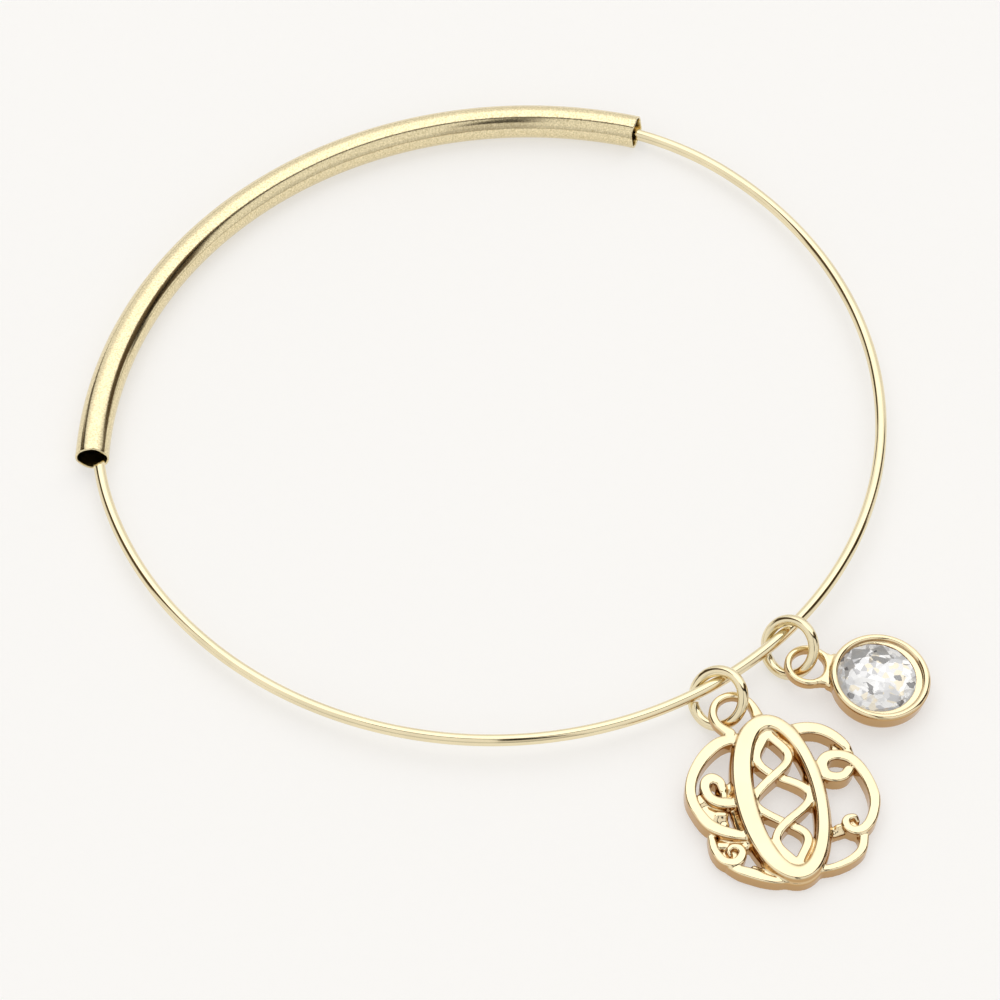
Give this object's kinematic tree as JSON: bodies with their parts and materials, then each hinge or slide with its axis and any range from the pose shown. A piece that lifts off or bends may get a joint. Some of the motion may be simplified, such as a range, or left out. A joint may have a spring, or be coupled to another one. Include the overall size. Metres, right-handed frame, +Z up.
{
  "type": "monogram bangle",
  "caption": "Round wire bangle lying on its side, threaded through a curved tube bead, with a pierced scroll medallion and a bezel-set crystal drop on jump rings.",
  "frame": {"origin": "on the surface that the bangle lies on, under the centre of its wire hoop, in the wrist opening", "axes": "+Z up from the surface, +Y away from the camera towards the tube bead, +X to the picture's right"},
  "size_m": [0.0731, 0.0794, 0.0044],
  "materials": {
    "wire_gold": "polished gold plate",
    "tube_brass": "satin, fine speckle along its length",
    "charm_gold": "polished gold plate on a casting",
    "crystal": "faceted, foiled behind"
  },
  "bodies": {
    "root": {"wire_hoop": "wire_gold", "curved_tube": "tube_brass", "medallion_ring": "wire_gold", "medallion": "charm_gold", "crystal_ring": "wire_gold", "bezel_cup": "charm_gold", "crystal": "crystal"}
  },
  "joints": []
}
